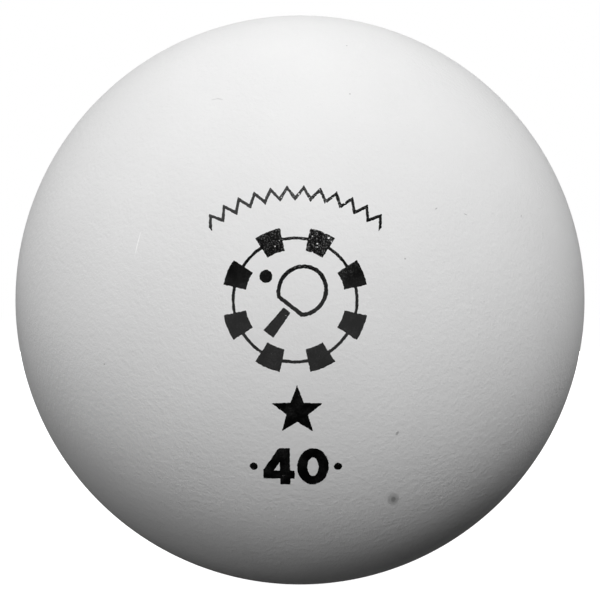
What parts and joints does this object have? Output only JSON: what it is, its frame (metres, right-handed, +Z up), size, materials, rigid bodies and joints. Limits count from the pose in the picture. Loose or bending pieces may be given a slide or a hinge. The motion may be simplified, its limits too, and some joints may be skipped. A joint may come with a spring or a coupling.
{
  "type": "table tennis ball",
  "caption": "Hollow white plastic table tennis ball: bonded half shells with a small stamp of dark ink, for rolling, bouncing and play.",
  "frame": {"origin": "centre of the ball", "axes": "+Z up; the stamp's centre is at the front pole on -Y; the seam between the half shells lies in the XZ plane, and Y is the axis that both halves are turned about"},
  "size_m": [0.0403, 0.0404, 0.0403],
  "materials": {
    "white_plastic": "matte",
    "weld": "satin",
    "ink": "matte"
  },
  "bodies": {
    "root": {"front_half_shell": "white_plastic", "rear_half_shell": "white_plastic", "seam_weld": "weld", "ink_zigzag_arch": "ink", "ink_block_ring": "ink", "ink_bat_blade": "ink", "ink_bat_handle": "ink", "ink_ball_dot": "ink", "ink_star": "ink", "ink_digit_4": "ink", "ink_digit_0": "ink", "ink_left_dot": "ink", "ink_right_dot": "ink"}
  },
  "joints": []
}
